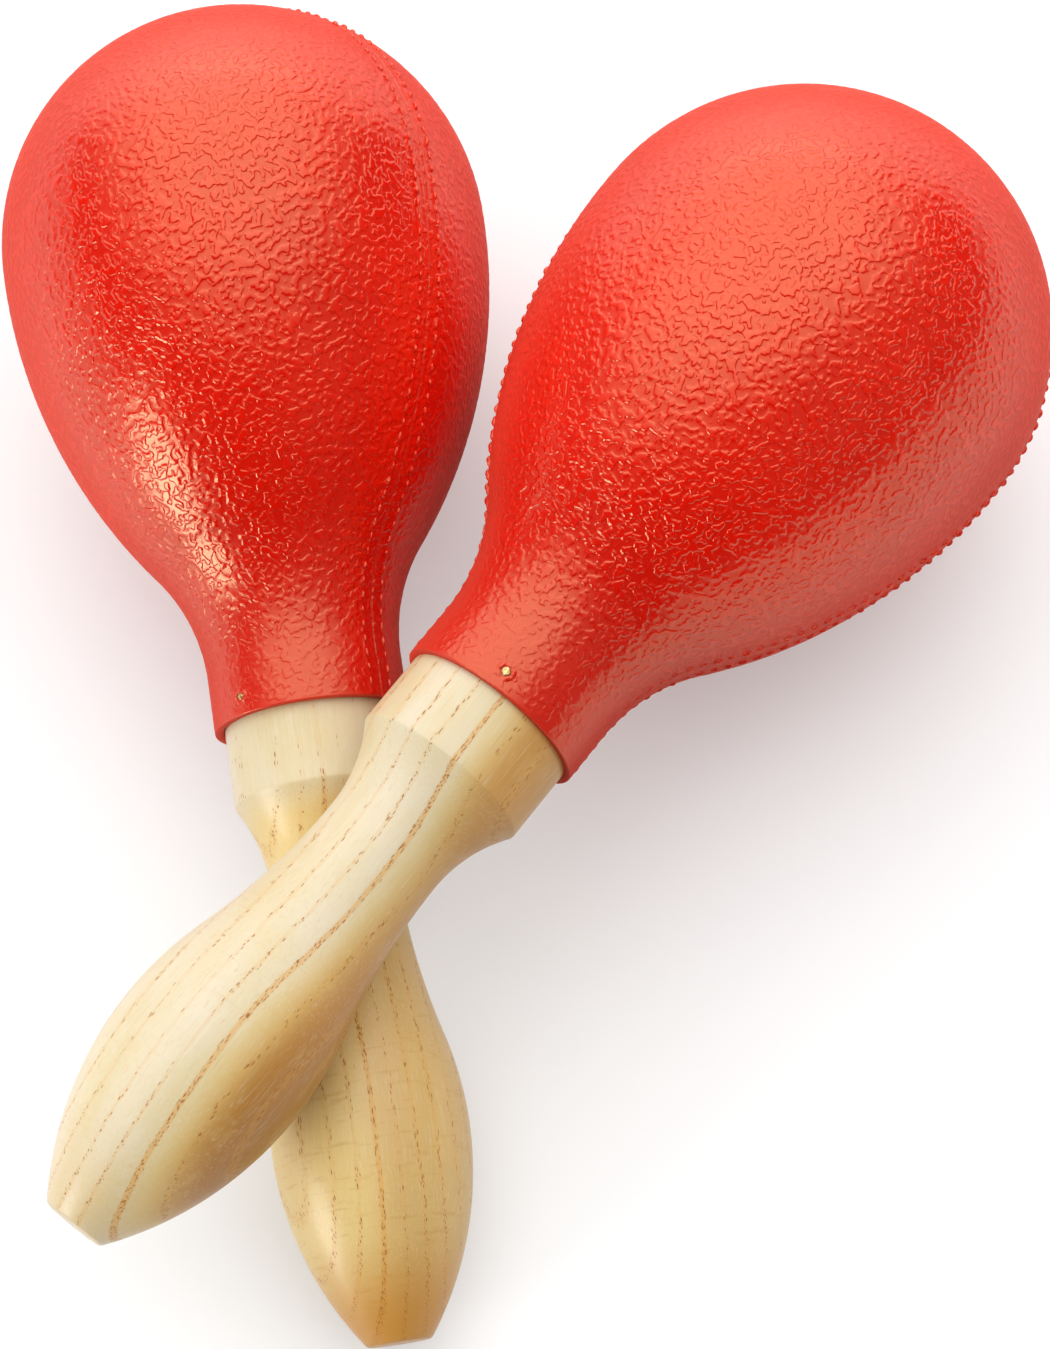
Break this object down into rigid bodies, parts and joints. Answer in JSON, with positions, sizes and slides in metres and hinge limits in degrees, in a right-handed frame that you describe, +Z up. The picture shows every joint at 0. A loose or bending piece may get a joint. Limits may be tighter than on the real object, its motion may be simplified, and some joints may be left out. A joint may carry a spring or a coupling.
{
  "type": "pair of maracas",
  "caption": "Crossed pair of shakers: egg-shaped red plastic heads in moulded halves, filled with loose pellets, bradded to turned wooden handles.",
  "frame": {"origin": "on the table, under the middle of the pair's box, as the pair lies crossed", "axes": "+Z up from the table; +Y back along the rear maraca, from its handle towards its head; +X to the right, where the front maraca's head lies"},
  "size_m": [0.2054, 0.2446, 0.0908],
  "materials": {
    "shell_red": "satin gloss, leather grain",
    "ash_wood": "satin lacquer",
    "brass": "plain",
    "pellet_ivory": "smooth"
  },
  "bodies": {
    "rear_maraca": {"rear_shell_tongue_half": "shell_red", "rear_shell_groove_half": "shell_red", "rear_handle": "ash_wood", "rear_brads": "brass"},
    "front_maraca": {"front_shell_tongue_half": "shell_red", "front_shell_groove_half": "shell_red", "front_handle": "ash_wood", "front_brads": "brass"},
    "rear_pellet_group_1": {"rear_pellets_1": "pellet_ivory"},
    "rear_pellet_group_2": {"rear_pellets_2": "pellet_ivory"},
    "rear_pellet_group_3": {"rear_pellets_3": "pellet_ivory"},
    "rear_pellet_group_4": {"rear_pellets_4": "pellet_ivory"},
    "rear_pellet_group_5": {"rear_pellets_5": "pellet_ivory"},
    "rear_pellet_group_6": {"rear_pellets_6": "pellet_ivory"},
    "front_pellet_group_1": {"front_pellets_1": "pellet_ivory"},
    "front_pellet_group_2": {"front_pellets_2": "pellet_ivory"},
    "front_pellet_group_3": {"front_pellets_3": "pellet_ivory"},
    "front_pellet_group_4": {"front_pellets_4": "pellet_ivory"},
    "front_pellet_group_5": {"front_pellets_5": "pellet_ivory"},
    "front_pellet_group_6": {"front_pellets_6": "pellet_ivory"}
  },
  "joints": [
    {"name": "front_lift", "type": "slide", "parent": "rear_maraca", "child": "front_maraca", "axis": [0, 0, 1], "range_m": [0, 0.11]},
    {"name": "rear_pellets_1_hop", "type": "slide", "parent": "rear_maraca", "child": "rear_pellet_group_1", "axis": [0, 0, 1], "range_m": [0, 0.079]},
    {"name": "rear_pellets_2_hop", "type": "slide", "parent": "rear_maraca", "child": "rear_pellet_group_2", "axis": [0, 0, 1], "range_m": [0, 0.078]},
    {"name": "rear_pellets_3_hop", "type": "slide", "parent": "rear_maraca", "child": "rear_pellet_group_3", "axis": [0, 0, 1], "range_m": [0, 0.076]},
    {"name": "rear_pellets_4_hop", "type": "slide", "parent": "rear_maraca", "child": "rear_pellet_group_4", "axis": [0, 0, 1], "range_m": [0, 0.075]},
    {"name": "rear_pellets_5_hop", "type": "slide", "parent": "rear_maraca", "child": "rear_pellet_group_5", "axis": [0, 0, 1], "range_m": [0, 0.073]},
    {"name": "rear_pellets_6_hop", "type": "slide", "parent": "rear_maraca", "child": "rear_pellet_group_6", "axis": [0, 0, 1], "range_m": [0, 0.0715]},
    {"name": "front_pellets_1_hop", "type": "slide", "parent": "front_maraca", "child": "front_pellet_group_1", "axis": [0, 0, 1], "range_m": [0, 0.0795]},
    {"name": "front_pellets_2_hop", "type": "slide", "parent": "front_maraca", "child": "front_pellet_group_2", "axis": [0, 0, 1], "range_m": [0, 0.078]},
    {"name": "front_pellets_3_hop", "type": "slide", "parent": "front_maraca", "child": "front_pellet_group_3", "axis": [0, 0, 1], "range_m": [0, 0.077]},
    {"name": "front_pellets_4_hop", "type": "slide", "parent": "front_maraca", "child": "front_pellet_group_4", "axis": [0, 0, 1], "range_m": [0, 0.075]},
    {"name": "front_pellets_5_hop", "type": "slide", "parent": "front_maraca", "child": "front_pellet_group_5", "axis": [0, 0, 1], "range_m": [0, 0.0735]},
    {"name": "front_pellets_6_hop", "type": "slide", "parent": "front_maraca", "child": "front_pellet_group_6", "axis": [0, 0, 1], "range_m": [0, 0.0725]}
  ]
}
